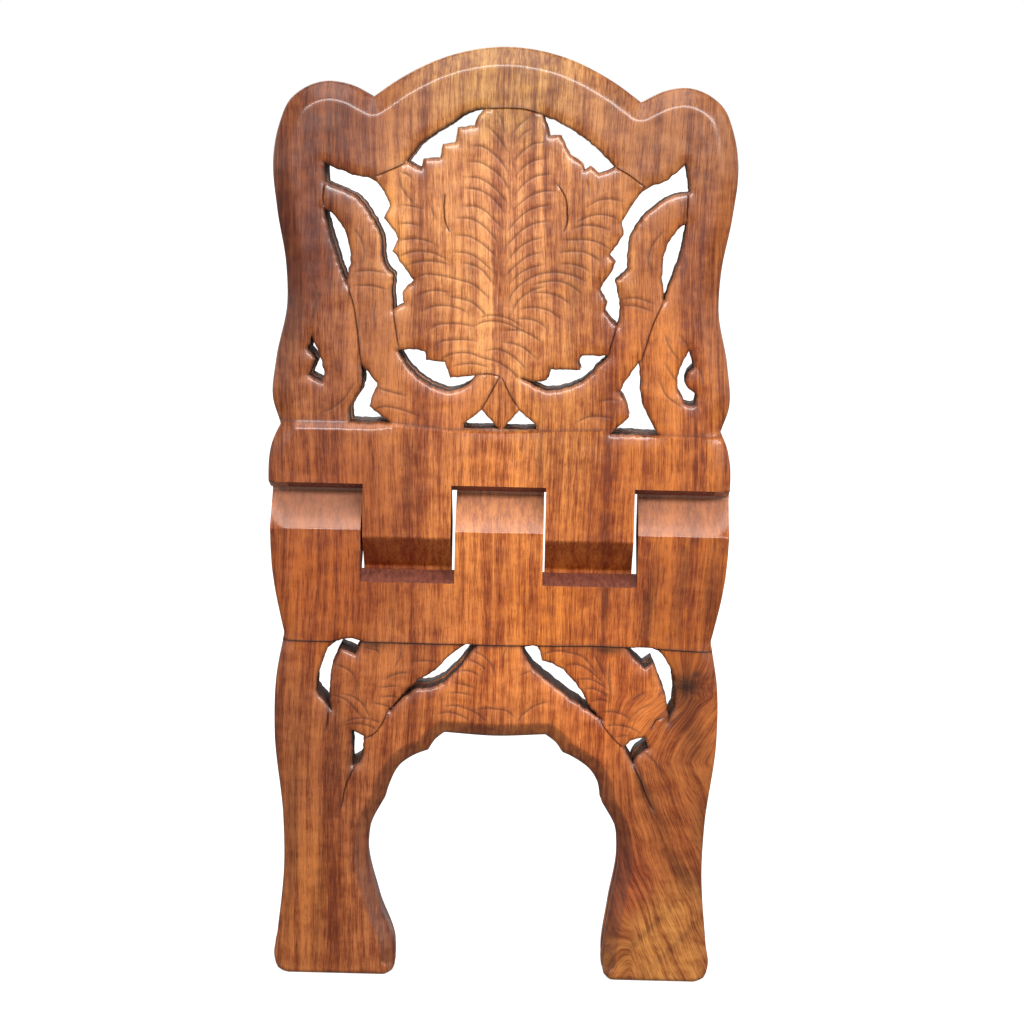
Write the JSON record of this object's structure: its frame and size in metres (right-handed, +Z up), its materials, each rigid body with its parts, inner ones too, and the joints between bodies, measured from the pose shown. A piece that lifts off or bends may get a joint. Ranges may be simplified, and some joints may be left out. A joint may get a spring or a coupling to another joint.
{
  "type": "folding book stand",
  "caption": "Folding carved wooden book stand: two interlocked leaves turn on a finger hinge cut from one plank and open to an X that cradles an open book.",
  "frame": {"origin": "on the floor under the middle of the folded stand, midway between its front and back faces", "axes": "+Z up, +X along the width and along the hinge axis, -Y towards the viewer of the carved front; stored folded flat and standing on its soles"},
  "size_m": [0.173, 0.0234, 0.3525],
  "materials": {
    "wood": "hand-carved, oiled and polished to a satin sheen"
  },
  "bodies": {
    "three_finger_leaf": {"three_finger_leaf": "wood"},
    "two_finger_leaf": {"two_finger_leaf": "wood"}
  },
  "joints": [
    {"name": "finger_hinge", "type": "hinge", "parent": "three_finger_leaf", "child": "two_finger_leaf", "pos_m": [0, 0, 0.1725], "axis": [1, 0, 0], "range_deg": [0, 115]}
  ]
}
